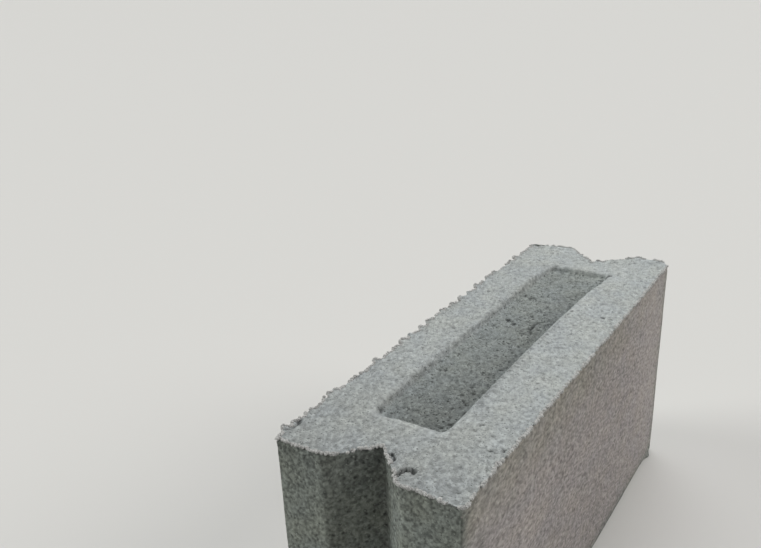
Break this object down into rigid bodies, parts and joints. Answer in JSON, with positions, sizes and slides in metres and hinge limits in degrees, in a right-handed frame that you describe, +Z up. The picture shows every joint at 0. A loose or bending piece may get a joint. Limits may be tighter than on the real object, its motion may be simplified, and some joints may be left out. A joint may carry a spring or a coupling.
{
  "type": "concrete block",
  "caption": "Solid rectangular concrete wall block with a V-shaped mortar groove down each end and a shallow rectangular recess pressed into its top bed.",
  "frame": {"origin": "middle of the lower bed, the flat face that the block stands on", "axes": "+X across the thickness, +Y along the length, +Z up through the height, with the pressed recess in the top bed"},
  "size_m": [0.13, 0.4, 0.2],
  "materials": {
    "concrete": "rough, open-grained sand-cement, unpainted"
  },
  "bodies": {
    "root": {"block": "concrete"}
  },
  "joints": []
}
